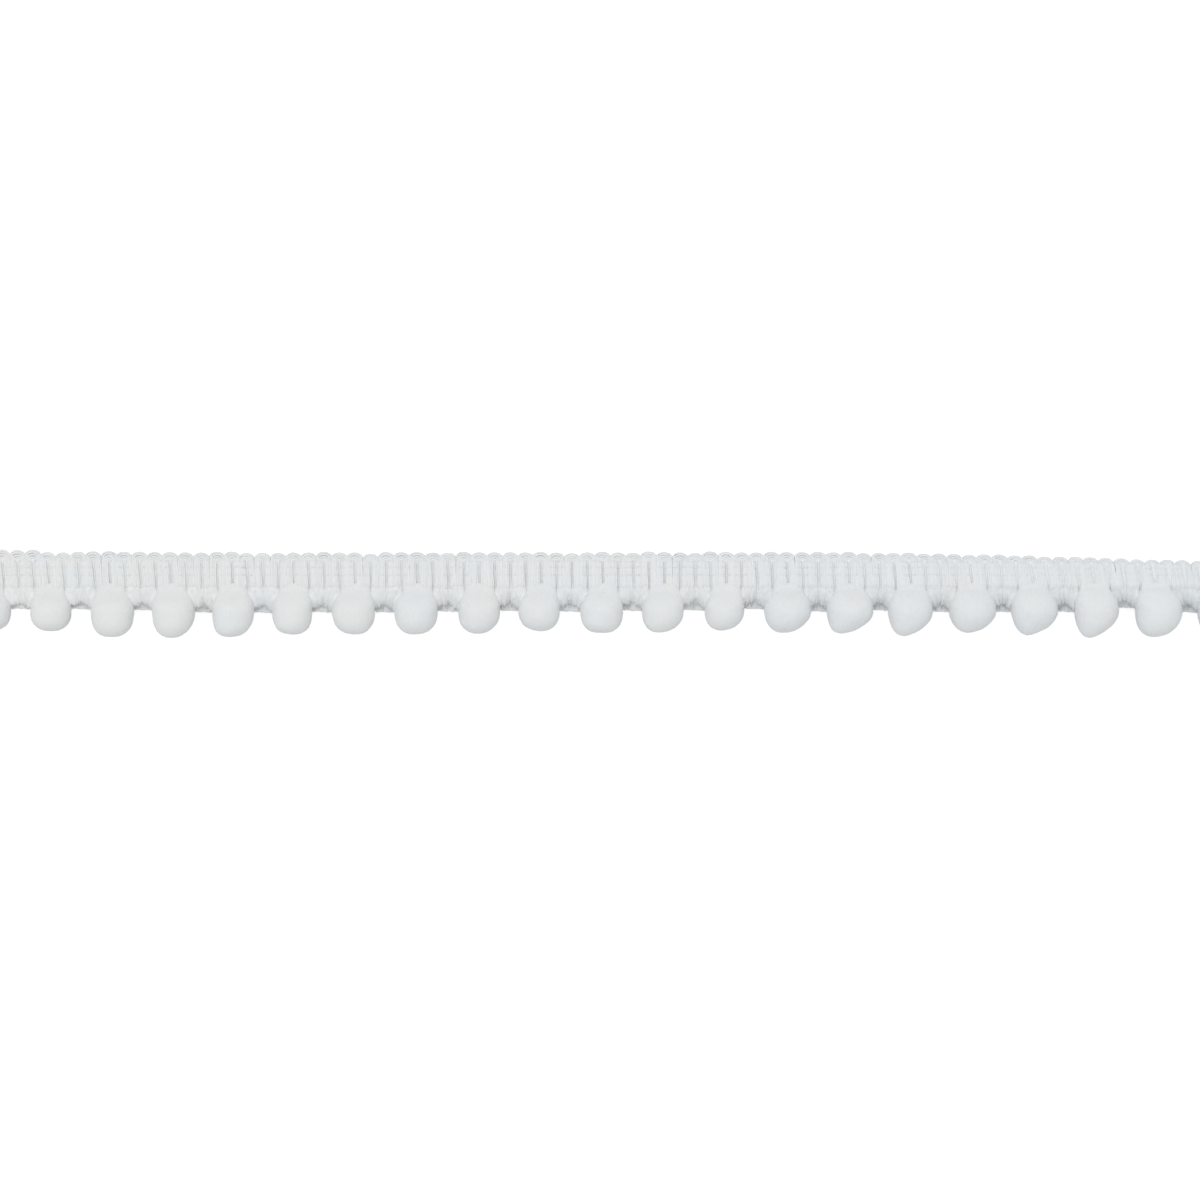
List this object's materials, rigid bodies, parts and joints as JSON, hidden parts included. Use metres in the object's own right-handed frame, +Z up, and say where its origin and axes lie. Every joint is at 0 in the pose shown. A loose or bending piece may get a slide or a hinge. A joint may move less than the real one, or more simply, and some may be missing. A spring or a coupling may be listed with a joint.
{
  "type": "pompom fringe trim",
  "caption": "Narrow white braid with upright ribs and a looped edge, and a row of small clipped pompoms, to sew or glue along an edge.",
  "frame": {"origin": "middle of the bounding box's floor, on the surface that the trim lies on", "axes": "+X along the trim, +Y across it from the pompoms to the looped edge, +Z up out of the face"},
  "size_m": [0.1552, 0.0108, 0.0053],
  "materials": {
    "braid_yarn": "matte, soft twisted yarn",
    "pompom_yarn": "matte, short clipped pile"
  },
  "bodies": {
    "root": {"heading": "braid_yarn", "pompom_row": "pompom_yarn"}
  },
  "joints": []
}
